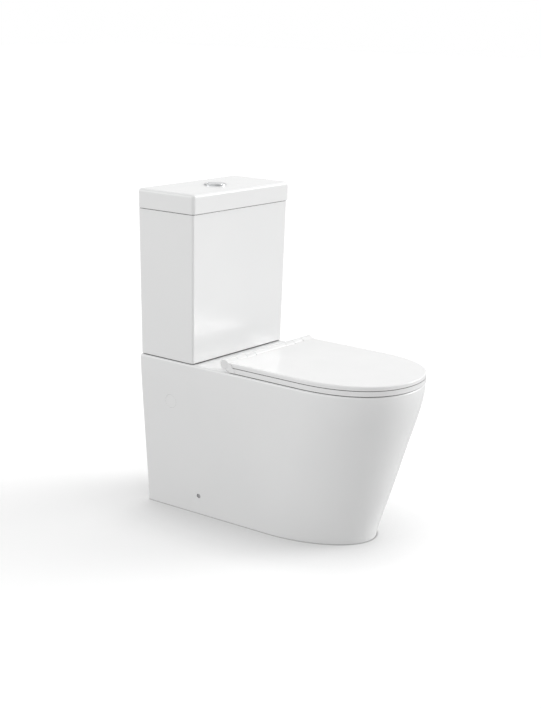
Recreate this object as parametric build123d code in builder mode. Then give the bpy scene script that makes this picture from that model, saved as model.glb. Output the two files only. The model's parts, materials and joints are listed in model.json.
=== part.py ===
from build123d import *
import os
from math import asin, degrees, radians, sin, cos

# Close coupled toilet, back to wall. Millimetres, +Z up.
# Origin: on the floor, midway between the wall plane and the seat's front tip.
# +Y points at the wall, -Y at the user, X runs across.

# ---------------------------------------------------------------- driving sizes
OVERALL_LENGTH = 710.0
WALL_Y = OVERALL_LENGTH / 2
SEAT_TIP_Y = -WALL_Y
DECK_Z = 400.0
CHINA = 11.0  # wall thickness of the vitreous china casting
DECK_THICKNESS = 14.0

# Pan outline in plan: half width at the wall, half width at the shoulder where
# the nose begins, the shoulder's y, the nose's y and the fullness of the nose.
RIM_PLAN = (178.0, 171.5, -154.0, SEAT_TIP_Y + 1.5, 0.600)
FOOT_PLAN = (150.5, 135.0, -30.0, -248.0, 0.530)
EASE_Z = 330.0  # above this height the straight draft eases upright to the rim
PAN_SECTIONS = (0.0, 110.0, 220.0, 330.0, 365.0, DECK_Z)
RIM_EDGE_R = 5.0
MOUTH_EDGE_R = 5.0
EGG_FULLNESS = 0.58

# Cistern and its lid
CISTERN_GAP = 1.5  # packed by the rubber buffers
CISTERN_Z0 = DECK_Z + CISTERN_GAP
CISTERN_Z1 = 773.0
CISTERN_TOP = (363.0, 182.0)  # width, depth
CISTERN_FOOT = (349.0, 175.5)
CISTERN_CORNER_R = 6.0
CISTERN_WALL = 9.0
CISTERN_FLOOR = 10.5
CISTERN_FLOOR_Z = CISTERN_Z0 + CISTERN_FLOOR
LID_OVERHANG = 3.0
LID_GAP = 1.2
LID_Z0 = CISTERN_Z1 + LID_GAP
LID_Z1 = 822.5
LID_TOP_THICKNESS = 10.0
LID_EDGE_R = 7.5
LID_CORNER_R = 9.0

# Cistern works share one line halfway through the cistern's depth
WORKS_Y = WALL_Y - 92.5
OUTLET_HOLE_R = 32.0
RECESS_R, RECESS_Z = 52.0, 372.0
COUPLING_X = 88.0
FILL_X = -122.0

# Seat, lid and hinge
HINGE_Y, HINGE_Z = WALL_Y - 273.5, 419.0
BARREL_R = 12.0
SEAT_PLAN = (170.5, 168.5, -145.0, SEAT_TIP_Y, 0.620)
SEAT_Z0, SEAT_Z1 = 401.6, 413.4
LIDPLATE_Z0, LIDPLATE_Z1 = 414.9, 425.0
REAR_EDGE_Y = HINGE_Y - BARREL_R - 1.5
BARREL_END_X = 170.0
RING_KNUCKLE = (130.0, BARREL_END_X)
LID_KNUCKLE = (95.0, 129.4)
POST_SPAN = (61.0, 94.4)
LID_BARREL_HALF = 60.4
FIXING_X = 77.5

# Push buttons
BUTTON_R = 21.3
BUTTON_TOP = LID_Z1 + 3.6
BUTTON_TRAVEL = 7.0
SPLIT_X = -4.0
BUTTON_GAP = 0.8
ROD_X = {"full": 9.0, "half": -13.5}
ROD_R = 2.6
ROD_END_Z = 700.0

# Fixings in the pan's sides
CAP_Y, CAP_Z, CAP_HOLE_R = 258.0, 291.7, 17.5
SIDE_SCREW_Y, SIDE_SCREW_Z, SIDE_HOLE_R = 184.5, 49.0, 6.0

# Soil outlet
OUTLET_Z, SPIGOT_R, SPIGOT_END_Y = 180.0, 51.0, WALL_Y - 37.0

SIDES = {"left": -1, "right": 1}
FLAT = (Align.CENTER, Align.CENTER, Align.MIN)

os.makedirs("parts", exist_ok=True)


def save(builder, label):
    """Label a finished sub-part and write its STEP file."""
    builder.part.label = label
    export_step(builder.part, f"parts/{label}.step")


# ---------------------------------------------------------------- shared shapes
def draw_in(z):
    """Share of the taper from rim to foot that is reached at height z."""
    ease = DECK_Z - EASE_Z
    total = EASE_Z + ease / 2
    if z >= EASE_Z:
        return (DECK_Z - z) ** 2 / (2 * ease * total)
    return (ease / 2 + EASE_Z - z) / total


def pan_plan(z):
    """The pan's outline values at height z, between the rim's and the foot's."""
    share = draw_in(z)
    return [rim + (foot - rim) * share for rim, foot in zip(RIM_PLAN, FOOT_PLAN)]


def pan_half_width(y, z):
    """Half width of the pan's straight side at a place y and height z."""
    wall_half, shoulder_half, shoulder_y, _, _ = pan_plan(z)
    draft = (wall_half - shoulder_half) / (WALL_Y - shoulder_y)
    return shoulder_half + draft * (y - shoulder_y)


def d_face(plan, inset=0.0, rear_y=WALL_Y, z=0.0):
    """D-shaped face: straight tapering sides that run into a rounded nose."""
    wall_half, shoulder_half, shoulder_y, nose_y, fullness = plan
    draft = (wall_half - shoulder_half) / (WALL_Y - shoulder_y)
    side_half = shoulder_half - inset
    rear_half = side_half + draft * (rear_y - shoulder_y)
    tip = nose_y + inset
    reach = fullness * (shoulder_y - tip)
    with BuildSketch(Plane.XY.offset(z)) as face:
        with BuildLine():
            for side in (1, -1):
                Line((side * rear_half, rear_y), (side * side_half, shoulder_y))
                Bezier(
                    (side * side_half, shoulder_y),
                    (side * (side_half - draft * reach), shoulder_y - reach),
                    (side * fullness * side_half, tip),
                    (0, tip),
                )
            Line((-rear_half, rear_y), (rear_half, rear_y))
        make_face()
    return face.sketch


def egg_face(half, front_y, middle_y, rear_y, inset=0.0, z=0.0):
    """Egg-shaped face, widest at middle_y, made of four quarter curves."""
    wide = half - inset
    with BuildSketch(Plane.XY.offset(z)) as face:
        with BuildLine():
            for side in (1, -1):
                for tip in (front_y + inset, rear_y - inset):
                    reach = EGG_FULLNESS * (middle_y - tip)
                    Bezier(
                        (side * wide, middle_y),
                        (side * wide, middle_y - reach),
                        (side * EGG_FULLNESS * wide, tip),
                        (0, tip),
                    )
        make_face()
    return face.sketch


def pan_outer_body():
    """Solid outer form of the pan, skirted to the floor."""
    loft(sections=[d_face(pan_plan(z), z=z) for z in PAN_SECTIONS])


def rod_x(x0, x1, r, y, z, mode=Mode.ADD):
    """Round bar along X between two places."""
    with Locations(Location(((x0 + x1) / 2, y, z), (0, 90, 0))):
        Cylinder(r, abs(x1 - x0), mode=mode)


def ring(x, y, z0, z1, outer, inner=0.0):
    """Upright disc or ring between two heights."""
    with Locations((x, y, z0)):
        Cylinder(outer, z1 - z0, align=FLAT)
        if inner:
            Cylinder(inner, z1 - z0, align=FLAT, mode=Mode.SUBTRACT)


def bore(x, y, z0, z1, r):
    """Upright round hole between two heights."""
    with Locations((x, y, z0)):
        Cylinder(r, z1 - z0, align=FLAT, mode=Mode.SUBTRACT)


def block(x0, x1, y0, y1, z0, z1, mode=Mode.ADD):
    """Box between two corners."""
    with Locations(((x0 + x1) / 2, (y0 + y1) / 2, z0)):
        Box(x1 - x0, y1 - y0, z1 - z0, align=FLAT, mode=mode)


# ---------------------------------------------------------------- pan
# The bowl narrows in steps from its mouth to the sump:
# height, half width, front y, middle y, rear y.
BOWL_LEVELS = (
    (DECK_Z, 134.0, -318.0, -150.0, 12.0),
    (352.0, 131.0, -314.0, -150.0, 8.0),
    (290.0, 114.0, -284.0, -145.0, -2.0),
    (225.0, 82.0, -225.0, -125.0, -12.0),
    (170.0, 52.0, -168.0, -100.0, -25.0),
    (128.0, 34.0, -132.0, -88.0, -44.0),
)
TRAP_BORE_R = 31.0
# Water seal: the passage dips behind the sump, climbs to the weir and falls
# to the outlet. Corners of its centre line in (y, z), and the bend radii.
TRAP_ROUTE = ((-95, 158), (-10, 142), (75, 330), (135, OUTLET_Z), (262, OUTLET_Z))
TRAP_BENDS = (46.0, 46.0, 55.0)
DUCT = {"half": 38.0, "z0": 336.0, "z1": 362.0}
INLET_BOX_HALF = RECESS_R + CHINA


def bowl_loft(grow, mode):
    """The bowl's inside, or its outside when grown by the wall thickness."""
    sections = []
    for z, half, front, middle, rear in BOWL_LEVELS:
        drop = grow if z < DECK_Z else 0.0
        sections.append(egg_face(half, front, middle, rear, inset=-grow, z=z - drop))
    loft(sections=sections, mode=mode)


def trap_sweep(r, mode):
    """Round passage along the trap's centre line."""
    with BuildLine(Plane.YZ) as route:
        FilletPolyline(*TRAP_ROUTE, radius=list(TRAP_BENDS))
    start = Plane(origin=route.line @ 0, z_dir=route.line % 0)
    with BuildSketch(start) as section:
        Circle(r)
    sweep(sections=section.sketch, path=route.line, mode=mode)


with BuildPart() as pan:
    pan_outer_body()
    rim_edges = pan.faces().sort_by(Axis.Z)[-1].edges()
    fillet(rim_edges.filter_by(lambda edge: edge.center().Y < WALL_Y - 1), RIM_EDGE_R)
    # hollow skirt, open underneath and at the wall
    hollow_levels = (0.0,) + PAN_SECTIONS[1:-1] + (DECK_Z - DECK_THICKNESS,)
    loft(
        sections=[d_face(pan_plan(z), CHINA, WALL_Y + 5, z) for z in hollow_levels],
        mode=Mode.SUBTRACT,
    )
    bowl_loft(CHINA, Mode.ADD)
    # inlet box under the cistern and the flushing duct to the bowl
    block(
        -INLET_BOX_HALF, INLET_BOX_HALF,
        WORKS_Y - INLET_BOX_HALF, WORKS_Y + INLET_BOX_HALF,
        DUCT["z0"] - CHINA, DECK_Z - 1,
    )
    block(
        -DUCT["half"] - CHINA, DUCT["half"] + CHINA,
        5.0, WORKS_Y,
        DUCT["z0"] - CHINA, DECK_Z - 1,
    )
    # trap and outlet spigot
    trap_sweep(TRAP_BORE_R + CHINA, Mode.ADD)
    with BuildSketch(Plane.YZ):
        with BuildLine():
            Polyline(
                (205, OUTLET_Z), (205, OUTLET_Z + TRAP_BORE_R + CHINA),
                (250, OUTLET_Z + SPIGOT_R), (SPIGOT_END_Y, OUTLET_Z + SPIGOT_R),
                (SPIGOT_END_Y, OUTLET_Z), (205, OUTLET_Z),
            )
        make_face()
    revolve(axis=Axis((0, 0, OUTLET_Z), (0, 1, 0)))
    # water ways
    bowl_loft(0.0, Mode.SUBTRACT)
    mouth = pan.faces().sort_by(Axis.Z)[-1].inner_wires()[0].edges()
    fillet(mouth, MOUTH_EDGE_R)
    trap_sweep(TRAP_BORE_R, Mode.SUBTRACT)
    with BuildSketch(Plane.YZ):
        with BuildLine():
            Polyline(
                (225, OUTLET_Z), (225, OUTLET_Z + TRAP_BORE_R),
                (262, OUTLET_Z + SPIGOT_R - 9), (SPIGOT_END_Y + 1, OUTLET_Z + SPIGOT_R - 9),
                (SPIGOT_END_Y + 1, OUTLET_Z), (225, OUTLET_Z),
            )
        make_face()
    revolve(axis=Axis((0, 0, OUTLET_Z), (0, 1, 0)), mode=Mode.SUBTRACT)
    block(-DUCT["half"], DUCT["half"], 0.0, WORKS_Y, DUCT["z0"], DUCT["z1"], Mode.SUBTRACT)
    bore(0, WORKS_Y, DUCT["z0"], DECK_Z, RECESS_R - 14)
    bore(0, WORKS_Y, RECESS_Z, DECK_Z + 1, RECESS_R)
    # holes in the deck
    for side in SIDES.values():
        bore(side * FIXING_X, HINGE_Y, DECK_Z - 40, DECK_Z + 1, 8.0)
        bore(side * COUPLING_X, WORKS_Y, DECK_Z - 40, DECK_Z + 1, 7.0)
    bore(FILL_X, WORKS_Y, DECK_Z - 40, DECK_Z + 1, 22.0)
    # holes in the sides
    for side in SIDES.values():
        rod_x(side * 120, side * 190, CAP_HOLE_R, CAP_Y, CAP_Z, Mode.SUBTRACT)
        rod_x(side * 120, side * 190, SIDE_HOLE_R, SIDE_SCREW_Y, SIDE_SCREW_Z, Mode.SUBTRACT)

# The one casting is saved as three nodes, parted where no cut shows: round the bowl
# just outside its wall, and round the trap's tube.
BOWL_ZONE_GROW = CHINA + 3.0
TRAP_ZONE = (-60.0, 60.0, -140.0, WALL_Y - 20, 1.0, DUCT["z0"] - CHINA - 1.0)
with BuildPart() as pan_bowl:
    bowl_loft(BOWL_ZONE_GROW, Mode.ADD)
    add(pan.part, mode=Mode.INTERSECT)
with BuildPart() as pan_rest:
    add(pan.part)
    bowl_loft(BOWL_ZONE_GROW, Mode.SUBTRACT)
with BuildPart() as pan_trap:
    block(*TRAP_ZONE)
    add(pan_rest.part, mode=Mode.INTERSECT)
with BuildPart() as pan_skirt:
    add(pan_rest.part)
    block(*TRAP_ZONE, Mode.SUBTRACT)

save(pan_skirt, "pan")
save(pan_bowl, "pan_bowl")
save(pan_trap, "pan_trap")


# ---------------------------------------------------------------- cistern
def rounded_face(size, z, wall_gap, corner_r):
    """Rounded rectangle at height z whose rear edge lies wall_gap off the wall plane."""
    width, depth = size
    with BuildSketch(Plane.XY.offset(z)) as face:
        with Locations((0, WALL_Y - wall_gap - depth / 2)):
            RectangleRounded(width, depth, corner_r)
    return face.sketch


def cistern_size(z, wall=0.0):
    """Width and depth of the tapered cistern at height z, less its walls."""
    share = (z - CISTERN_Z0) / (CISTERN_Z1 - CISTERN_Z0)
    return [
        foot + (top - foot) * share - 2 * wall for foot, top in zip(CISTERN_FOOT, CISTERN_TOP)
    ]


WALL_SCREW_X, WALL_SCREW_Z, WALL_SCREW_R = 130.0, 735.0, 4.0
REAR_TRIM = 1.0  # trimmed off behind, so that the back is one true plane

with BuildPart() as cistern_body:
    loft(
        sections=[
            rounded_face(cistern_size(z), z, -REAR_TRIM, CISTERN_CORNER_R)
            for z in (CISTERN_Z0, CISTERN_Z1)
        ]
    )
    fillet(cistern_body.faces().sort_by(Axis.Z)[0].edges(), 3.0)
    fillet(cistern_body.faces().sort_by(Axis.Z)[-1].edges(), 1.5)
    loft(
        sections=[
            rounded_face(cistern_size(z, CISTERN_WALL), z, CISTERN_WALL, 8.0)
            for z in (CISTERN_FLOOR_Z, CISTERN_Z1 + 1)
        ],
        mode=Mode.SUBTRACT,
    )
    block(
        -CISTERN_TOP[0], CISTERN_TOP[0],
        WALL_Y, WALL_Y + 2 * REAR_TRIM,
        CISTERN_Z0 - 1, CISTERN_Z1 + 1, Mode.SUBTRACT,
    )
    bore(0, WORKS_Y, CISTERN_Z0 - 1, CISTERN_FLOOR_Z + 1, OUTLET_HOLE_R)
    bore(FILL_X, WORKS_Y, CISTERN_Z0 - 1, CISTERN_FLOOR_Z + 1, 11.0)
    for side in SIDES.values():
        bore(side * COUPLING_X, WORKS_Y, CISTERN_Z0 - 1, CISTERN_FLOOR_Z + 1, 5.0)
        with Locations(Location((side * WALL_SCREW_X, WALL_Y, WALL_SCREW_Z), (90, 0, 0))):
            Cylinder(WALL_SCREW_R, 40, mode=Mode.SUBTRACT)
save(cistern_body, "cistern_body")

LID_SIZE = (CISTERN_TOP[0] + 2 * LID_OVERHANG, CISTERN_TOP[1] + LID_OVERHANG)
LIP_CLEARANCE, LIP_WALL, LIP_DEPTH = 3.0, 6.0, 9.0
LIP_SIZE = [size - 2 * (CISTERN_WALL + LIP_CLEARANCE) for size in CISTERN_TOP]
LID_HOLE_R = 25.6

with BuildPart() as cistern_lid:
    extrude(rounded_face(LID_SIZE, LID_Z0, 0, LID_CORNER_R), amount=LID_Z1 - LID_Z0)
    fillet(cistern_lid.faces().sort_by(Axis.Z)[-1].edges(), LID_EDGE_R)
    fillet(cistern_lid.faces().sort_by(Axis.Z)[0].edges(), 2.0)
    rear_gap = CISTERN_WALL + LIP_CLEARANCE
    extrude(rounded_face(LIP_SIZE, LID_Z0 - LIP_DEPTH, rear_gap, 6.0), amount=LIP_DEPTH)
    extrude(
        rounded_face(
            [size - 2 * LIP_WALL for size in LIP_SIZE], LID_Z0 - LIP_DEPTH, rear_gap + LIP_WALL, 4.0
        ),
        amount=LID_Z1 - LID_TOP_THICKNESS - LID_Z0 + LIP_DEPTH,
        mode=Mode.SUBTRACT,
    )
    bore(0, WORKS_Y, LID_Z0, LID_Z1 + 1, LID_HOLE_R)
save(cistern_lid, "cistern_lid")

with BuildPart() as lid_pads:
    half_rim = CISTERN_WALL / 2
    for x in (-150, 150):
        for y in (WALL_Y - half_rim, WALL_Y - CISTERN_TOP[1] + half_rim):
            ring(x, y, CISTERN_Z1 + 0.2, LID_Z0, 2.2)
save(lid_pads, "lid_pads")

with BuildPart() as cistern_buffers:
    for side in SIDES.values():
        block(side * 140 - 12, side * 140 + 12, 196, 226, DECK_Z, CISTERN_Z0)
save(cistern_buffers, "cistern_buffers")

# ---------------------------------------------------------------- coupling set
with BuildPart() as coupling_bolts:
    for side in SIDES.values():
        x = side * COUPLING_X
        ring(x, WORKS_Y, CISTERN_FLOOR_Z + 4.5, CISTERN_FLOOR_Z + 10.5, 8.0)
        ring(x, WORKS_Y, 352.0, CISTERN_FLOOR_Z + 4.5, 4.0)
save(coupling_bolts, "coupling_bolts")

with BuildPart() as coupling_rubber_washers:
    for side in SIDES.values():
        ring(side * COUPLING_X, WORKS_Y, CISTERN_FLOOR_Z, CISTERN_FLOOR_Z + 3.0, 13.0, 4.2)
save(coupling_rubber_washers, "coupling_rubber_washers")

with BuildPart() as coupling_steel_washers:
    for side in SIDES.values():
        ring(side * COUPLING_X, WORKS_Y, CISTERN_FLOOR_Z + 3.0, CISTERN_FLOOR_Z + 4.5, 12.0, 4.3)
        ring(side * COUPLING_X, WORKS_Y, DECK_Z - DECK_THICKNESS - 2, DECK_Z - DECK_THICKNESS, 14.0, 4.3)
save(coupling_steel_washers, "coupling_steel_washers")


def wing_nut(x, y, z, bolt_r, hub_r, span, height):
    """Wing nut that hangs below height z."""
    ring(x, y, z - height, z, hub_r, bolt_r + 0.1)
    for side in (-1, 1):
        inner, outer = x + side * (hub_r - 1.0), x + side * span
        block(min(inner, outer), max(inner, outer), y - 1.5, y + 1.5, z - height - 4, z - 3)


with BuildPart() as coupling_wing_nuts:
    for side in SIDES.values():
        wing_nut(side * COUPLING_X, WORKS_Y, DECK_Z - DECK_THICKNESS - 2, 4.0, 7.5, 17.0, 9.0)
save(coupling_wing_nuts, "coupling_wing_nuts")

TAIL_R, TAIL_Z0 = 31.0, 378.0
with BuildPart() as coupling_gasket:
    ring(0, WORKS_Y, RECESS_Z, 388.0, RECESS_R - 1.5, TAIL_R + 0.3)
    chamfer(coupling_gasket.faces().sort_by(Axis.Z)[0].edges().sort_by(Edge.length)[-1], 3.0)
save(coupling_gasket, "coupling_gasket")

# ---------------------------------------------------------------- flush valve
BASE_Z = CISTERN_FLOOR_Z + 3.0
with BuildPart() as flush_valve_gasket:
    ring(0, WORKS_Y, CISTERN_FLOOR_Z, BASE_Z, 41.0, TAIL_R + 1.2)
save(flush_valve_gasket, "flush_valve_gasket")

SEAT_LAND_Z = BASE_Z + 13.0
with BuildPart() as flush_valve_base:
    ring(0, WORKS_Y, TAIL_Z0, BASE_Z, TAIL_R)
    ring(0, WORKS_Y, BASE_Z, BASE_Z + 6.0, 42.0)
    ring(0, WORKS_Y, BASE_Z + 6.0, SEAT_LAND_Z, 31.0)
    bore(0, WORKS_Y, TAIL_Z0, SEAT_LAND_Z, 26.0)
    for z in (381.0, 384.0):
        with Locations((0, WORKS_Y, z)):
            Torus(TAIL_R, 0.7, mode=Mode.SUBTRACT)
save(flush_valve_base, "flush_valve_base")

with BuildPart() as flush_valve_nut:
    with BuildSketch(Plane.XY.offset(388.2)):
        with Locations((0, WORKS_Y)):
            RegularPolygon(46.0, 8)
            Circle(TAIL_R + 0.2, mode=Mode.SUBTRACT)
    extrude(amount=CISTERN_Z0 - 388.2)
save(flush_valve_nut, "flush_valve_nut")

TOWER_R, TOWER_WALL, TOWER_TOP = 37.0, 2.5, 640.0
HEAD_TOP = 672.0
GUIDE_Z = 560.0
OVERFLOW_R, OVERFLOW_TOP = 13.0, 604.0
PLUNGER_R = 5.5
with BuildPart() as flush_valve_tower:
    ring(0, WORKS_Y, BASE_Z + 6.0, TOWER_TOP, TOWER_R, TOWER_R - TOWER_WALL)
    ring(0, WORKS_Y, GUIDE_Z, GUIDE_Z + 4.0, TOWER_R - 1.0, OVERFLOW_R + 0.5)
    # windows that let the water reach the seat
    for z0, z1 in ((BASE_Z + 16.0, 480.0), (500.0, 545.0)):
        with Locations((0, WORKS_Y, (z0 + z1) / 2)):
            with PolarLocations(TOWER_R, 4, start_angle=45):
                Box(12, 34, z1 - z0, mode=Mode.SUBTRACT)
    ring(0, WORKS_Y, TOWER_TOP, HEAD_TOP, TOWER_R + 1.0)
    for x in ROD_X.values():
        bore(x, WORKS_Y, TOWER_TOP, HEAD_TOP, PLUNGER_R + 0.4)
    fillet(flush_valve_tower.faces().sort_by(Axis.Z)[-1].edges().sort_by(Edge.length)[-1], 4.0)
save(flush_valve_tower, "flush_valve_tower")

VALVE_Z0 = SEAT_LAND_Z + 0.3
with BuildPart() as valve_seal:
    ring(0, WORKS_Y, VALVE_Z0, VALVE_Z0 + 2.5, 30.5, OVERFLOW_R)
save(valve_seal, "valve_seal")

with BuildPart() as valve_core:
    ring(0, WORKS_Y, VALVE_Z0 + 2.5, VALVE_Z0 + 10.0, 28.0)
    ring(0, WORKS_Y, VALVE_Z0 + 10.0, VALVE_Z0 + 40.0, 17.0)
    bore(0, WORKS_Y, VALVE_Z0, VALVE_Z0 + 40.0, OVERFLOW_R)
save(valve_core, "valve_core")

with BuildPart() as overflow_tube:
    ring(0, WORKS_Y, VALVE_Z0, OVERFLOW_TOP, OVERFLOW_R, OVERFLOW_R - 2.0)
save(overflow_tube, "overflow_tube")

for name, x in ROD_X.items():
    with BuildPart() as plunger:
        ring(x, WORKS_Y, TOWER_TOP - 8.0, ROD_END_Z - 0.4, PLUNGER_R)
    save(plunger, f"{name}_plunger")

# ---------------------------------------------------------------- fill valve
SHANK_R, SHANK_Z0 = 10.4, 350.0
SHANK_NECK_R, SHANK_NECK_Z = 10.0, 386.0
FLOAT_Z = (545.0, 600.0)
FILL_HEAD_Z = 640.0
LEVER_Y = WORKS_Y - 24.0
LEVER_PIVOT = (FILL_X - 12.0, 655.0)
FLOAT_TRAVEL = 20.0
LEVER_ARM = 38.7
LEVER_REST = degrees(asin(FLOAT_TRAVEL / 2 / (LEVER_ARM**2 + FLOAT_TRAVEL**2 / 4) ** 0.5))
LINK_X = LEVER_PIVOT[0] + LEVER_ARM
LINK_Y = LEVER_Y - 5.0
LINK_PIN_Z = LEVER_PIVOT[1] - FLOAT_TRAVEL / 2

with BuildPart() as fill_valve_body:
    ring(FILL_X, WORKS_Y, SHANK_Z0, SHANK_NECK_Z, SHANK_R)
    ring(FILL_X, WORKS_Y, SHANK_NECK_Z, BASE_Z, SHANK_NECK_R)
    ring(FILL_X, WORKS_Y, BASE_Z, BASE_Z + 4.0, 20.0)
    ring(FILL_X, WORKS_Y, BASE_Z + 4.0, FILL_HEAD_Z, 11.0)
    bore(FILL_X, WORKS_Y, SHANK_Z0, FILL_HEAD_Z - 10, 6.5)
save(fill_valve_body, "fill_valve_body")

with BuildPart() as inlet_filter:
    ring(FILL_X, WORKS_Y, SHANK_Z0 + 2.0, SHANK_Z0 + 30.0, 6.4, 5.2)
    for z in range(5):
        with Locations((FILL_X, WORKS_Y, SHANK_Z0 + 7.0 + 5.0 * z)):
            with PolarLocations(6.0, 6):
                Box(4, 2, 3, mode=Mode.SUBTRACT)
save(inlet_filter, "inlet_filter")

with BuildPart() as fill_valve_washer:
    ring(FILL_X, WORKS_Y, CISTERN_FLOOR_Z, BASE_Z, 18.5, SHANK_NECK_R + 0.1)
save(fill_valve_washer, "fill_valve_washer")

with BuildPart() as fill_valve_nut:
    with BuildSketch(Plane.XY.offset(388.0)):
        with Locations((FILL_X, WORKS_Y)):
            RegularPolygon(17.5, 6)
            Circle(SHANK_NECK_R + 0.1, mode=Mode.SUBTRACT)
    extrude(amount=CISTERN_Z0 - 388.0)
save(fill_valve_nut, "fill_valve_nut")

with BuildPart() as fill_valve_head:
    ring(FILL_X, WORKS_Y, FILL_HEAD_Z, FILL_HEAD_Z + 28.0, 20.0)
    with Locations(Location((LEVER_PIVOT[0], LEVER_Y + 6.5, LEVER_PIVOT[1]), (90, 0, 0))):
        Cylinder(5.0, 8.0)
    with Locations(Location((LEVER_PIVOT[0], LEVER_Y, LEVER_PIVOT[1]), (90, 0, 0))):
        Cylinder(2.0, 10.0)
save(fill_valve_head, "fill_valve_head")

with BuildPart() as fill_valve_cap:
    ring(FILL_X, WORKS_Y, FILL_HEAD_Z + 28.0, FILL_HEAD_Z + 42.0, 17.0)
    fillet(fill_valve_cap.faces().sort_by(Axis.Z)[-1].edges(), 5.0)
save(fill_valve_cap, "fill_valve_cap")

with BuildPart() as float_cup:
    ring(FILL_X, WORKS_Y, FLOAT_Z[0], FLOAT_Z[1], 27.0)
    fillet(float_cup.faces().sort_by(Axis.Z)[-1].edges(), 3.0)
    bore(FILL_X, WORKS_Y, FLOAT_Z[0], FLOAT_Z[1] - 2.0, 25.2)
    ring(FILL_X, WORKS_Y, FLOAT_Z[0], FLOAT_Z[1] - 2.0, 14.0)
    bore(FILL_X, WORKS_Y, FLOAT_Z[0], FLOAT_Z[1], 11.8)
    block(FILL_X + 14, LINK_X + 5, LINK_Y - 4.5, WORKS_Y - 8, FLOAT_Z[1] - 6.0, FLOAT_Z[1] - 2.0)
    bore(LINK_X, LINK_Y, FLOAT_Z[1] - 8.0, FLOAT_Z[1], 2.0)
save(float_cup, "float_cup")

with BuildPart() as float_link:
    ring(LINK_X, LINK_Y, FLOAT_Z[1] - 10.0, LINK_PIN_Z + 4.0, 2.0)
    with Locations(Location((LINK_X, LINK_Y + 4.0, LINK_PIN_Z), (90, 0, 0))):
        Cylinder(1.4, 9.0)
save(float_link, "float_link")

with BuildPart() as float_lever:
    lever_plane = Plane(
        origin=(LEVER_PIVOT[0], LEVER_Y - 2.0, LEVER_PIVOT[1]),
        x_dir=(cos(radians(LEVER_REST)), 0, -sin(radians(LEVER_REST))),
        z_dir=(0, -1, 0),
    )
    slot_centre = (LEVER_ARM**2 + FLOAT_TRAVEL**2 / 4) ** 0.5
    with BuildSketch(lever_plane):
        with Locations((slot_centre / 2, 0)):
            SlotCenterToCenter(slot_centre, 11.0)
        with Locations((slot_centre, 0)):
            SlotCenterToCenter(4.0, 3.8, mode=Mode.SUBTRACT)
        Circle(2.3, mode=Mode.SUBTRACT)
    extrude(amount=-4.0)
save(float_lever, "float_lever")

# ---------------------------------------------------------------- push buttons
HOUSING_Z0 = 786.0
with BuildPart() as button_bezel:
    ring(0, WORKS_Y, LID_Z1, LID_Z1 + 3.2, 28.5, 24.6)
    fillet(button_bezel.edges().filter_by(GeomType.CIRCLE).group_by(Axis.Z)[-1], 1.2)
save(button_bezel, "button_bezel")

with BuildPart() as button_housing:
    ring(0, WORKS_Y, HOUSING_Z0, LID_Z1 + 2.6, 24.4, 21.8)
    ring(0, WORKS_Y, HOUSING_Z0, HOUSING_Z0 + 3.0, 24.4)
    for x in ROD_X.values():
        bore(x, WORKS_Y, HOUSING_Z0, HOUSING_Z0 + 3.0, ROD_R + 0.4)
save(button_housing, "button_housing")

NUT_TOP = LID_Z1 - LID_TOP_THICKNESS
with BuildPart() as housing_nut:
    ring(0, WORKS_Y, NUT_TOP - 9.0, NUT_TOP, 33.0, 24.5)
    with Locations((0, WORKS_Y, NUT_TOP - 4.5)):
        with PolarLocations(33.0, 12):
            Cylinder(1.6, 9.0, mode=Mode.SUBTRACT)
save(housing_nut, "housing_nut")

BUTTON_Z0 = BUTTON_TOP - 9.0
for name, x in ROD_X.items():
    side = 1 if name == "full" else -1
    keep_x = SPLIT_X + side * BUTTON_GAP / 2
    with BuildPart() as button:
        ring(0, WORKS_Y, BUTTON_Z0, BUTTON_TOP, BUTTON_R)
        far_x = side * (BUTTON_R + 1)
        block(
            min(keep_x, far_x), max(keep_x, far_x),
            WORKS_Y - BUTTON_R - 1, WORKS_Y + BUTTON_R + 1,
            BUTTON_Z0, BUTTON_TOP, Mode.INTERSECT,
        )
        fillet(button.faces().sort_by(Axis.Z)[-1].edges(), 1.0)
    save(button, f"{name}_flush_button")
    with BuildPart() as rod:
        ring(x, WORKS_Y, ROD_END_Z, BUTTON_Z0, ROD_R)
        ring(x, WORKS_Y, ROD_END_Z, ROD_END_Z + 3.0, 4.0)
    save(rod, f"{name}_flush_rod")
    with BuildPart() as spring:
        with BuildLine():
            coil = Helix(pitch=4.2, height=25.2, radius=5.0, center=(x, WORKS_Y, HOUSING_Z0 + 3.9))
        with BuildSketch(Plane(origin=coil @ 0, z_dir=coil % 0)):
            Circle(0.6)
        sweep(is_frenet=True)
    save(spring, f"{name}_button_spring")

# ---------------------------------------------------------------- seat and lid
OPENING = {"half": 112.0, "front": SEAT_TIP_Y + 62.0, "middle": -128.0, "rear": 2.0}
BUFFER_SPOTS = ((-138, -20), (138, -20), (-118, -235), (118, -235))


def hinge_profile(x):
    """Side view at x of the ring's knuckle: the barrel run into the ring by smooth curves."""
    crest = HINGE_Y - 5.0, HINGE_Z + (BARREL_R**2 - 25.0) ** 0.5
    with BuildSketch(Plane.YZ.offset(x)) as face:
        with Locations((HINGE_Y, HINGE_Z)):
            Circle(BARREL_R)
        with BuildLine():
            Line(crest, (69.0, LIDPLATE_Z1))
            RadiusArc((69.0, LIDPLATE_Z1), (56.0, SEAT_Z1), -15.0)
            Line((56.0, SEAT_Z1), (50.0, SEAT_Z1))
            Line((50.0, SEAT_Z1), (50.0, SEAT_Z0))
            Line((50.0, SEAT_Z0), (64.0, SEAT_Z0))
            RadiusArc((64.0, SEAT_Z0), (HINGE_Y - 2.0, HINGE_Z - 11.8), 30.0)
            Line((HINGE_Y - 2.0, HINGE_Z - 11.8), crest)
        make_face()
    return face.sketch


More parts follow.
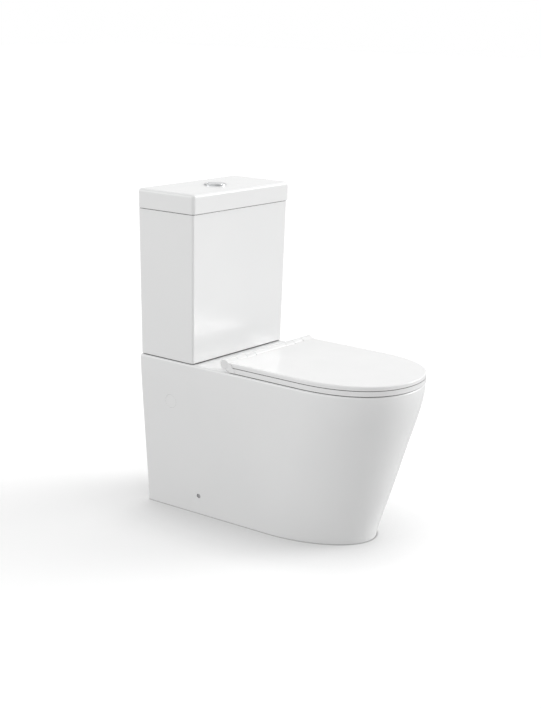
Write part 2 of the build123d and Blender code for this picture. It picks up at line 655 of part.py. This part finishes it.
with BuildPart() as seat_ring:
    extrude(d_face(SEAT_PLAN, 0.0, REAR_EDGE_Y - 1.0, SEAT_Z0), amount=SEAT_Z1 - SEAT_Z0)
    extrude(
        egg_face(
            OPENING["half"], OPENING["front"], OPENING["middle"], OPENING["rear"], z=SEAT_Z0
        ),
        amount=SEAT_Z1 - SEAT_Z0,
        mode=Mode.SUBTRACT,
    )
    for side in SIDES.values():
        x0, x1 = sorted(side * x for x in RING_KNUCKLE)
        extrude(hinge_profile(x0), amount=x1 - x0)
        rod_x(side * 129, side * 162, 4.3, HINGE_Y, HINGE_Z, Mode.SUBTRACT)
        rod_x(side * 167.4, side * 171, 11.0, HINGE_Y, HINGE_Z, Mode.SUBTRACT)
    rod_x(-162, -129, 8.0, HINGE_Y, HINGE_Z, Mode.SUBTRACT)
    for x, y in BUFFER_SPOTS:
        bore(x, y, SEAT_Z0, SEAT_Z0 + 5.0, 3.0)
save(seat_ring, "seat_ring")

with BuildPart() as seat_buffers:
    for x, y in BUFFER_SPOTS:
        ring(x, y, DECK_Z + 0.3, SEAT_Z0, 7.5)
        ring(x, y, SEAT_Z0, SEAT_Z0 + 5.0, 3.0)
save(seat_buffers, "seat_buffers")

for name, side in SIDES.items():
    with BuildPart() as hinge_cap:
        rod_x(side * 167.4, side * (BARREL_END_X + 0.3), 11.0, HINGE_Y, HINGE_Z)
        fillet(hinge_cap.faces().sort_by(Axis.X)[-1 if side > 0 else 0].edges(), 0.6)
    save(hinge_cap, f"hinge_cap_{name}")

with BuildPart() as seat_damper:
    rod_x(-161.8, -130.2, 8.0, HINGE_Y, HINGE_Z)
    rod_x(-161.8, -130.2, 4.3, HINGE_Y, HINGE_Z, Mode.SUBTRACT)
save(seat_damper, "seat_damper")

with BuildPart() as lid_damper:
    rod_x(LID_KNUCKLE[0] + 0.4, LID_KNUCKLE[1] - 0.4, 8.0, HINGE_Y, HINGE_Z)
    rod_x(LID_KNUCKLE[0], LID_KNUCKLE[1], 4.3, HINGE_Y, HINGE_Z, Mode.SUBTRACT)
save(lid_damper, "lid_damper")

with BuildPart() as seat_lid:
    extrude(d_face(SEAT_PLAN, 0.0, REAR_EDGE_Y - 1.0, LIDPLATE_Z0), amount=LIDPLATE_Z1 - LIDPLATE_Z0)
    fillet(seat_lid.faces().sort_by(Axis.Z)[-1].edges().filter_by(lambda e: e.center().Y < 60), 3.0)
    # clearance over the ring's knuckles
    for side in SIDES.values():
        x0, x1 = sorted((side * 129.6, side * 175))
        with Locations(((x0 + x1) / 2, HINGE_Y, HINGE_Z)):
            Box(x1 - x0, 26.0, 30.0, mode=Mode.SUBTRACT)
        with BuildSketch(Plane.YZ.offset(x0)):
            with BuildLine():
                Polyline((70, LIDPLATE_Z1 + 1), (68.0, LIDPLATE_Z1 + 1), (68.0, LIDPLATE_Z1))
                RadiusArc((68.0, LIDPLATE_Z1), (56.0, LIDPLATE_Z0), -14.0)
                Polyline(
                    (56.0, LIDPLATE_Z0), (56.0, LIDPLATE_Z0 - 1),
                    (70, LIDPLATE_Z0 - 1), (70, LIDPLATE_Z1 + 1),
                )
            make_face()
        extrude(amount=x1 - x0, mode=Mode.SUBTRACT)
    # barrel between the posts and the knuckles outside them
    spans = [(-LID_BARREL_HALF, LID_BARREL_HALF)]
    spans += [tuple(sorted(side * x for x in LID_KNUCKLE)) for side in SIDES.values()]
    for x0, x1 in spans:
        rod_x(x0, x1, BARREL_R, HINGE_Y, HINGE_Z)
        block(x0, x1, REAR_EDGE_Y - 3.0, HINGE_Y, LIDPLATE_Z0, LIDPLATE_Z1)
    for side in SIDES.values():
        rod_x(side * LID_KNUCKLE[0], side * LID_KNUCKLE[1], 4.3, HINGE_Y, HINGE_Z, Mode.SUBTRACT)
    rod_x(LID_KNUCKLE[0], LID_KNUCKLE[1], 8.0, HINGE_Y, HINGE_Z, Mode.SUBTRACT)
save(seat_lid, "seat_lid")

with BuildPart() as lid_buffers:
    for x, y in BUFFER_SPOTS:
        ring(x, y, SEAT_Z1 + 0.3, LIDPLATE_Z0, 4.0)
save(lid_buffers, "lid_buffers")

# ---------------------------------------------------------------- hinge posts
for name, side in SIDES.items():
    x0, x1 = sorted(side * x for x in POST_SPAN)
    with BuildPart() as hinge_post:
        rod_x(x0, x1, BARREL_R, HINGE_Y, HINGE_Z)
        block(x0, x1, HINGE_Y - 9, HINGE_Y + 9, DECK_Z, HINGE_Z)
        ring(side * FIXING_X, HINGE_Y, DECK_Z, DECK_Z + 3.0, 12.5)
        rod_x(side * 80, side * POST_SPAN[1], 4.0, HINGE_Y, HINGE_Z, Mode.SUBTRACT)
        bore(side * FIXING_X, HINGE_Y, DECK_Z, DECK_Z + 13, 4.1)
    save(hinge_post, f"hinge_post_{name}")
    with BuildPart() as hinge_pin:
        rod_x(side * 80, side * 161, 4.0, HINGE_Y, HINGE_Z)
    save(hinge_pin, f"hinge_pin_{name}")

UNDER_DECK = DECK_Z - DECK_THICKNESS
with BuildPart() as seat_fixing_bolts:
    for side in SIDES.values():
        ring(side * FIXING_X, HINGE_Y, 350.0, DECK_Z + 12.0, 4.0)
save(seat_fixing_bolts, "seat_fixing_bolts")

with BuildPart() as seat_fixing_bushes:
    for side in SIDES.values():
        ring(side * FIXING_X, HINGE_Y, UNDER_DECK, DECK_Z - 0.2, 7.8, 4.2)
        ring(side * FIXING_X, HINGE_Y, UNDER_DECK - 4.0, UNDER_DECK, 12.5, 4.2)
save(seat_fixing_bushes, "seat_fixing_bushes")

with BuildPart() as seat_fixing_nuts:
    for side in SIDES.values():
        wing_nut(side * FIXING_X, HINGE_Y, UNDER_DECK - 4.0, 4.0, 8.0, 16.0, 10.0)
save(seat_fixing_nuts, "seat_fixing_nuts")

# ---------------------------------------------------------------- side fixings
for name, side in SIDES.items():
    outer_x = side * pan_half_width(CAP_Y, CAP_Z)
    with BuildPart() as side_cap:
        pan_outer_body()
        rod_x(outer_x - side * 5, outer_x + side * 5, CAP_HOLE_R - 0.2, CAP_Y, CAP_Z, Mode.INTERSECT)
    save(side_cap, f"side_cap_{name}")

BRACKET = {"x0": 93.0, "x1": 131.0, "y0": SIDE_SCREW_Y - 20, "y1": SIDE_SCREW_Y + 20, "leg": 6.0}
FLOOR_HOLE_X, FLOOR_HOLE_R = 112.0, 4.0
with BuildPart() as floor_brackets:
    for side in SIDES.values():
        x0, x1 = sorted((side * BRACKET["x0"], side * BRACKET["x1"]))
        block(x0, x1, BRACKET["y0"], BRACKET["y1"], 0, BRACKET["leg"])
        x0, x1 = sorted((side * (BRACKET["x1"] - BRACKET["leg"]), side * BRACKET["x1"]))
        block(x0, x1, BRACKET["y0"], BRACKET["y1"], 0, SIDE_SCREW_Z + 18)
        bore(side * FLOOR_HOLE_X, SIDE_SCREW_Y, 0, BRACKET["leg"], FLOOR_HOLE_R)
        rod_x(side * 120, side * 140, 3.1, SIDE_SCREW_Y, SIDE_SCREW_Z, Mode.SUBTRACT)
save(floor_brackets, "floor_brackets")

SCREW_FACE_X = pan_half_width(SIDE_SCREW_Y, SIDE_SCREW_Z) - 3.0
with BuildPart() as side_screws:
    for side in SIDES.values():
        rod_x(side * (SCREW_FACE_X - 4.5), side * SCREW_FACE_X, 5.2, SIDE_SCREW_Y, SIDE_SCREW_Z)
        rod_x(side * 122, side * (SCREW_FACE_X - 4.5), 3.0, SIDE_SCREW_Y, SIDE_SCREW_Z)
save(side_screws, "side_screws")
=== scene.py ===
import bpy
import json
from math import radians
from mathutils import Matrix, Vector

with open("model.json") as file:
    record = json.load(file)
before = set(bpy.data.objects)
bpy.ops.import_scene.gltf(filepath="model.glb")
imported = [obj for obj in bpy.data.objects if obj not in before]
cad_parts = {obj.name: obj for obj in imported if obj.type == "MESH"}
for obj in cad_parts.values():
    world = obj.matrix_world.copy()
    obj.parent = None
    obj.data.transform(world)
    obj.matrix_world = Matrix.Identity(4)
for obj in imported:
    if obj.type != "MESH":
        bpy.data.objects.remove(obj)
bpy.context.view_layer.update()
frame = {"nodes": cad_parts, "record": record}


# ---------------------------------------------------------------- camera
# Angles in degrees, place in metres, lens and sensor in millimetres
CAMERA_AZIMUTH = -51.26
CAMERA_ELEVATION = 14.56
CAMERA_ROLL = 0.9
CAMERA_PLACE = (-2.5463, -1.9678, 1.2604)
CAMERA_LENS = 68.09
CAMERA_SENSOR = 36.0
CAMERA_CLIP_END = 100.0


def make_camera():
    """Camera at the reference view."""
    camera = bpy.data.objects.new("camera", bpy.data.cameras.new("camera"))
    bpy.context.scene.collection.objects.link(camera)
    camera.data.lens = CAMERA_LENS
    camera.data.sensor_width = CAMERA_SENSOR
    camera.data.clip_end = CAMERA_CLIP_END
    turn = Matrix.Rotation(radians(CAMERA_AZIMUTH), 4, "Z")
    tilt = Matrix.Rotation(radians(90.0 - CAMERA_ELEVATION), 4, "X")
    bank = Matrix.Rotation(radians(CAMERA_ROLL), 4, "Z")
    camera.matrix_world = Matrix.Translation(CAMERA_PLACE) @ turn @ tilt @ bank
    bpy.context.scene.camera = camera


# ---------------------------------------------------------------- materials
WHITE = (1.0, 1.0, 1.0, 1.0)
# The middle band of a noise texture that is stretched over a whole range
NOISE_LOW = 0.3
NOISE_HIGH = 0.7
# The china and the plastic caps that match it
CHINA_DARK = (0.835, 0.838, 0.838)
CHINA_LIGHT = (0.86, 0.862, 0.86)
GLAZE_IOR = 1.5
# Above about 0.27 the denoiser leaves hard-edged patches on the glaze
GLAZE_ROUGHNESS = (0.20, 0.26)
# Bump layers: noise cells per metre, noise detail, strength, height in metres
GLAZE_WAVES = (9.0, 1.0, 0.25, 0.002)
GLAZE_PEEL = (160.0, 2.0, 0.10, 0.0002)
PLASTIC_GRAIN = (900.0, 2.0, 0.12, 0.0001)
# Bump that metal grain makes: strength, height in metres
METAL_BUMP = (0.08, 0.0001)
# Slow changes of tone over a surface, in noise cells per metre
GLAZE_CLOUDS = 3.0
PLASTIC_CLOUDS = 6.0
# Painted shade in narrow gaps: how far it reaches in metres, and the colour left at the bottom
CREVICE_REACH = 0.008
CREVICE_DEPTH = 0.25
# How open a crevice is when it is darkest, and when it is clear
CREVICE_CLOSED = 0.15
CREVICE_CLEAR = 0.55
CREVICE_SAMPLES = 8
PLASTIC_ROUGHNESS_SPREAD = 0.06
METAL_ROUGHNESS_SPREAD = 1.8
METAL_DARK_PART = 0.94


def new_material(name):
    """A material with its node tree and its main shader."""
    material = bpy.data.materials.new(name)
    material.use_nodes = True
    shader = material.node_tree.nodes["Principled BSDF"]
    return material, material.node_tree, shader


def add_noise(tree, scale, detail=3.0, roughness=0.5):
    """Noise texture in object space; the scale counts cells per metre."""
    place = tree.nodes.new("ShaderNodeTexCoord")
    noise = tree.nodes.new("ShaderNodeTexNoise")
    noise.inputs["Scale"].default_value = scale
    noise.inputs["Detail"].default_value = detail
    noise.inputs["Roughness"].default_value = roughness
    tree.links.new(place.outputs["Object"], noise.inputs["Vector"])
    return noise


def vary(tree, noise, low, high, socket):
    """Feed a socket with a value that the noise moves between low and high."""
    spread = tree.nodes.new("ShaderNodeMapRange")
    spread.inputs["From Min"].default_value = NOISE_LOW
    spread.inputs["From Max"].default_value = NOISE_HIGH
    spread.inputs["To Min"].default_value = low
    spread.inputs["To Max"].default_value = high
    tree.links.new(noise.outputs["Fac"], spread.inputs["Value"])
    tree.links.new(spread.outputs["Result"], socket)


def vary_colour(tree, noise, dark, light, socket):
    """Feed a colour socket with a soft mix of two close colours."""
    ramp = tree.nodes.new("ShaderNodeValToRGB")
    first, last = ramp.color_ramp.elements
    first.position = NOISE_LOW
    first.color = (*dark, 1.0)
    last.position = NOISE_HIGH
    last.color = (*light, 1.0)
    tree.links.new(noise.outputs["Fac"], ramp.inputs["Fac"])
    tree.links.new(ramp.outputs["Color"], socket)


def bump_layer(tree, scale, detail, strength, height):
    """One layer for add_bump, with its own noise."""
    return add_noise(tree, scale, detail), strength, height


def add_bump(tree, shader, layers):
    """Stack bump layers, each (noise, strength, height in metres)."""
    previous = None
    for noise, strength, height in layers:
        bump = tree.nodes.new("ShaderNodeBump")
        bump.inputs["Strength"].default_value = strength
        bump.inputs["Distance"].default_value = height
        tree.links.new(noise.outputs["Fac"], bump.inputs["Height"])
        if previous:
            tree.links.new(previous.outputs["Normal"], bump.inputs["Normal"])
        previous = bump
    tree.links.new(previous.outputs["Normal"], shader.inputs["Normal"])


def paint_crevice_shade(
    tree, shader, reach=CREVICE_REACH, depth=CREVICE_DEPTH, closed=CREVICE_CLOSED, clear=CREVICE_CLEAR
):
    """Paint shade into the base colour where neighbouring surfaces close in."""
    colour = shader.inputs["Base Color"].links[0].from_socket
    cavity = tree.nodes.new("ShaderNodeAmbientOcclusion")
    cavity.inputs["Distance"].default_value = reach
    cavity.samples = CREVICE_SAMPLES
    ramp = tree.nodes.new("ShaderNodeMapRange")
    ramp.inputs["From Min"].default_value = closed
    ramp.inputs["From Max"].default_value = clear
    ramp.inputs["To Min"].default_value = depth
    ramp.inputs["To Max"].default_value = 1.0
    tree.links.new(cavity.outputs["AO"], ramp.inputs["Value"])
    darken = tree.nodes.new("ShaderNodeMix")
    darken.data_type = "RGBA"
    darken.blend_type = "MULTIPLY"
    darken.inputs["Factor"].default_value = 1.0
    tree.links.new(colour, darken.inputs["A"])
    tree.links.new(ramp.outputs["Result"], darken.inputs["B"])
    tree.links.new(darken.outputs["Result"], shader.inputs["Base Color"])


def glazed_china():
    """White vitreous china: a deep gloss glaze that lies a little unevenly."""
    material, tree, shader = new_material("glazed_china")
    clouds = add_noise(tree, GLAZE_CLOUDS)
    vary_colour(tree, clouds, CHINA_DARK, CHINA_LIGHT, shader.inputs["Base Color"])
    vary(tree, clouds, *GLAZE_ROUGHNESS, shader.inputs["Roughness"])
    add_bump(tree, shader, [bump_layer(tree, *GLAZE_WAVES), bump_layer(tree, *GLAZE_PEEL)])
    # Painted shade in the narrow gaps between parts
    paint_crevice_shade(tree, shader)
    shader.inputs["IOR"].default_value = GLAZE_IOR
    return material


def gloss_plastic(name, dark, light, roughness):
    """Moulded gloss plastic with a very fine grain."""
    material, tree, shader = new_material(name)
    clouds = add_noise(tree, PLASTIC_CLOUDS)
    vary_colour(tree, clouds, dark, light, shader.inputs["Base Color"])
    rougher = roughness + PLASTIC_ROUGHNESS_SPREAD
    vary(tree, clouds, roughness, rougher, shader.inputs["Roughness"])
    add_bump(tree, shader, [bump_layer(tree, *PLASTIC_GRAIN)])
    # Painted shade in the narrow gaps between parts
    paint_crevice_shade(tree, shader)
    return material


def metal(name, colour, roughness, grain_scale):
    """Bright metal whose polish varies slightly."""
    material, tree, shader = new_material(name)
    grain = add_noise(tree, grain_scale, 4.0)
    dark = [METAL_DARK_PART * channel for channel in colour]
    vary_colour(tree, grain, dark, colour, shader.inputs["Base Color"])
    vary(tree, grain, roughness, roughness * METAL_ROUGHNESS_SPREAD, shader.inputs["Roughness"])
    add_bump(tree, shader, [(grain, *METAL_BUMP)])
    shader.inputs["Metallic"].default_value = 1.0
    return material


# Plastics and rubbers: slot, darker colour, lighter colour, roughness
PLASTICS = (
    ("cap_plastic", CHINA_DARK, CHINA_LIGHT, 0.20),
    ("seat_plastic", (0.83, 0.83, 0.83), (0.86, 0.86, 0.858), 0.14),
    ("hinge_plastic", (0.79, 0.79, 0.79), (0.82, 0.82, 0.82), 0.20),
    ("rubber", (0.030, 0.030, 0.030), (0.045, 0.045, 0.044), 0.55),
    ("buffer", (0.72, 0.72, 0.71), (0.78, 0.78, 0.77), 0.40),
    ("works_white", (0.72, 0.72, 0.71), (0.77, 0.77, 0.76), 0.35),
    ("works_grey", (0.17, 0.18, 0.20), (0.20, 0.21, 0.23), 0.38),
    ("works_blue", (0.02, 0.09, 0.25), (0.03, 0.11, 0.29), 0.35),
)
# Metals: slot, colour, roughness, grain in cells per metre
METALS = (
    ("chrome", (0.58, 0.59, 0.60), 0.06, 300.0),
    ("steel", (0.62, 0.62, 0.63), 0.25, 500.0),
)


def make_materials():
    """One material for each material slot in the record."""
    made = {"glazed_china": glazed_china()}
    for name, dark, light, roughness in PLASTICS:
        made[name] = gloss_plastic(name, dark, light, roughness)
    for name, colour, roughness, grain_scale in METALS:
        made[name] = metal(name, colour, roughness, grain_scale)
    return made


# ---------------------------------------------------------------- stage
FLOOR_SIDE = 60.0
FLOOR_CLOUDS = 0.5
FLOOR_DARK = (0.96, 0.96, 0.96)
FLOOR_LIGHT = (0.97, 0.97, 0.97)
FLOOR_ROUGHNESS = 0.9
FLOOR_SPECULAR = 0.1
# Grey that the floor has for light, and glow that it has for the camera
FLOOR_BOUNCE = 0.6
FLOOR_LIFT = 0.1
# Painted soft shadow round the foot, then a painted thin contact shadow line at it: reach in metres,
# colour left, and how open the floor is when it is darkest and when it is clear
FLOOR_SHADE = (0.22, 0.6, 0.3, 1.0)
FLOOR_CONTACT_SHADOW = (0.007, 0.3, 0.45, 0.9)


def split_by_ray(tree, for_light, for_camera, surface):
    """Use one shader for light and another for what the camera sees directly."""
    choose = tree.nodes.new("ShaderNodeMixShader")
    path = tree.nodes.new("ShaderNodeLightPath")
    tree.links.new(path.outputs["Is Camera Ray"], choose.inputs[0])
    tree.links.new(for_light.outputs[0], choose.inputs[1])
    tree.links.new(for_camera.outputs[0], choose.inputs[2])
    tree.links.new(choose.outputs[0], surface)


def make_floor():
    """Pale floor that runs to the horizon, with painted shadow round the foot; it throws back less
    light than it shows.
    """
    bpy.ops.mesh.primitive_plane_add(size=FLOOR_SIDE, location=(0, 0, 0))
    floor = bpy.context.object
    floor.name = "floor"
    material, tree, shader = new_material("floor")
    clouds = add_noise(tree, FLOOR_CLOUDS)
    vary_colour(tree, clouds, FLOOR_DARK, FLOOR_LIGHT, shader.inputs["Base Color"])
    # Painted shadow round the foot, and a painted thin contact shadow line along it
    paint_crevice_shade(tree, shader, *FLOOR_SHADE)
    paint_crevice_shade(tree, shader, *FLOOR_CONTACT_SHADOW)
    shader.inputs["Roughness"].default_value = FLOOR_ROUGHNESS
    shader.inputs["Specular IOR Level"].default_value = FLOOR_SPECULAR
    shader.inputs["Emission Color"].default_value = WHITE
    shader.inputs["Emission Strength"].default_value = FLOOR_LIFT
    bounce = tree.nodes.new("ShaderNodeBsdfDiffuse")
    bounce.inputs["Color"].default_value = (FLOOR_BOUNCE, FLOOR_BOUNCE, FLOOR_BOUNCE, 1.0)
    split_by_ray(tree, bounce, shader, tree.nodes["Material Output"].inputs["Surface"])
    floor.data.materials.append(material)


# Soft distant lights: name, direction the light comes from, angular size in degrees, strength
LIGHTS = (
    ("key", (0.87, -0.5, 0.3), 30.0, 0.76),
    ("key_front", (0.75, -0.65, 0.3), 25.0, 0.60),
    ("front", (0.6, -0.8, 0.6), 60.0, 0.57),
    ("left_back", (-0.75, 0.66, 0.3), 25.0, 0.36),
)
# Power that narrows each glow about its direction
GLOW_FOCUS = 3.0
# Broad glows that make up the studio's walls: direction, strength
GLOWS = (
    ((1.0, 0.0, 0.3), 1.08),
    ((-1.0, 0.0, 0.3), 1.09),
    ((0.0, 1.0, 0.3), 0.35),
)


def add_glow(tree, place, direction, strength, previous):
    """Add to the previous glows one that is strongest towards its direction."""
    facing = tree.nodes.new("ShaderNodeVectorMath")
    facing.operation = "DOT_PRODUCT"
    facing.inputs[1].default_value = Vector(direction).normalized()
    tree.links.new(place.outputs["Generated"], facing.inputs[0])
    half = tree.nodes.new("ShaderNodeMapRange")
    half.inputs["From Min"].default_value = -1.0
    tree.links.new(facing.outputs["Value"], half.inputs["Value"])
    lobe = tree.nodes.new("ShaderNodeMath")
    lobe.operation = "POWER"
    lobe.inputs[1].default_value = GLOW_FOCUS
    tree.links.new(half.outputs["Result"], lobe.inputs[0])
    add = tree.nodes.new("ShaderNodeMath")
    add.operation = "MULTIPLY_ADD"
    add.inputs[1].default_value = strength
    add.inputs[2].default_value = 0.0
    tree.links.new(lobe.outputs[0], add.inputs[0])
    if previous:
        tree.links.new(previous.outputs[0], add.inputs[2])
    return add


def make_studio():
    """White backdrop for the camera; for light, a room that glows softly on some sides."""
    world = bpy.data.worlds.new("studio")
    bpy.context.scene.world = world
    world.use_nodes = True
    tree = world.node_tree
    place = tree.nodes.new("ShaderNodeTexCoord")
    total = None
    for direction, strength in GLOWS:
        total = add_glow(tree, place, direction, strength, total)
    room = tree.nodes["Background"]
    room.inputs["Color"].default_value = WHITE
    tree.links.new(total.outputs[0], room.inputs["Strength"])
    backdrop = tree.nodes.new("ShaderNodeBackground")
    backdrop.inputs["Color"].default_value = WHITE
    backdrop.inputs["Strength"].default_value = 1.0
    split_by_ray(tree, room, backdrop, tree.nodes["World Output"].inputs["Surface"])
    bpy.context.scene.view_settings.view_transform = "Standard"


def make_lights():
    """The soft distant lights, each turned to shine from its direction."""
    for name, direction, size, strength in LIGHTS:
        data = bpy.data.lights.new(name, "SUN")
        data.angle = radians(size)
        data.energy = strength
        light = bpy.data.objects.new(name, data)
        bpy.context.scene.collection.objects.link(light)
        light.rotation_euler = Vector(direction).to_track_quat("Z", "Y").to_euler()


# ---------------------------------------------------------------- finish
materials = make_materials()
make_camera()
make_lights()
make_studio()
make_floor()
for part in frame["record"]["subparts"]:
    node = frame["nodes"][part["node"]]
    node.data.materials.clear()
    node.data.materials.append(materials[part["material_slot"]])
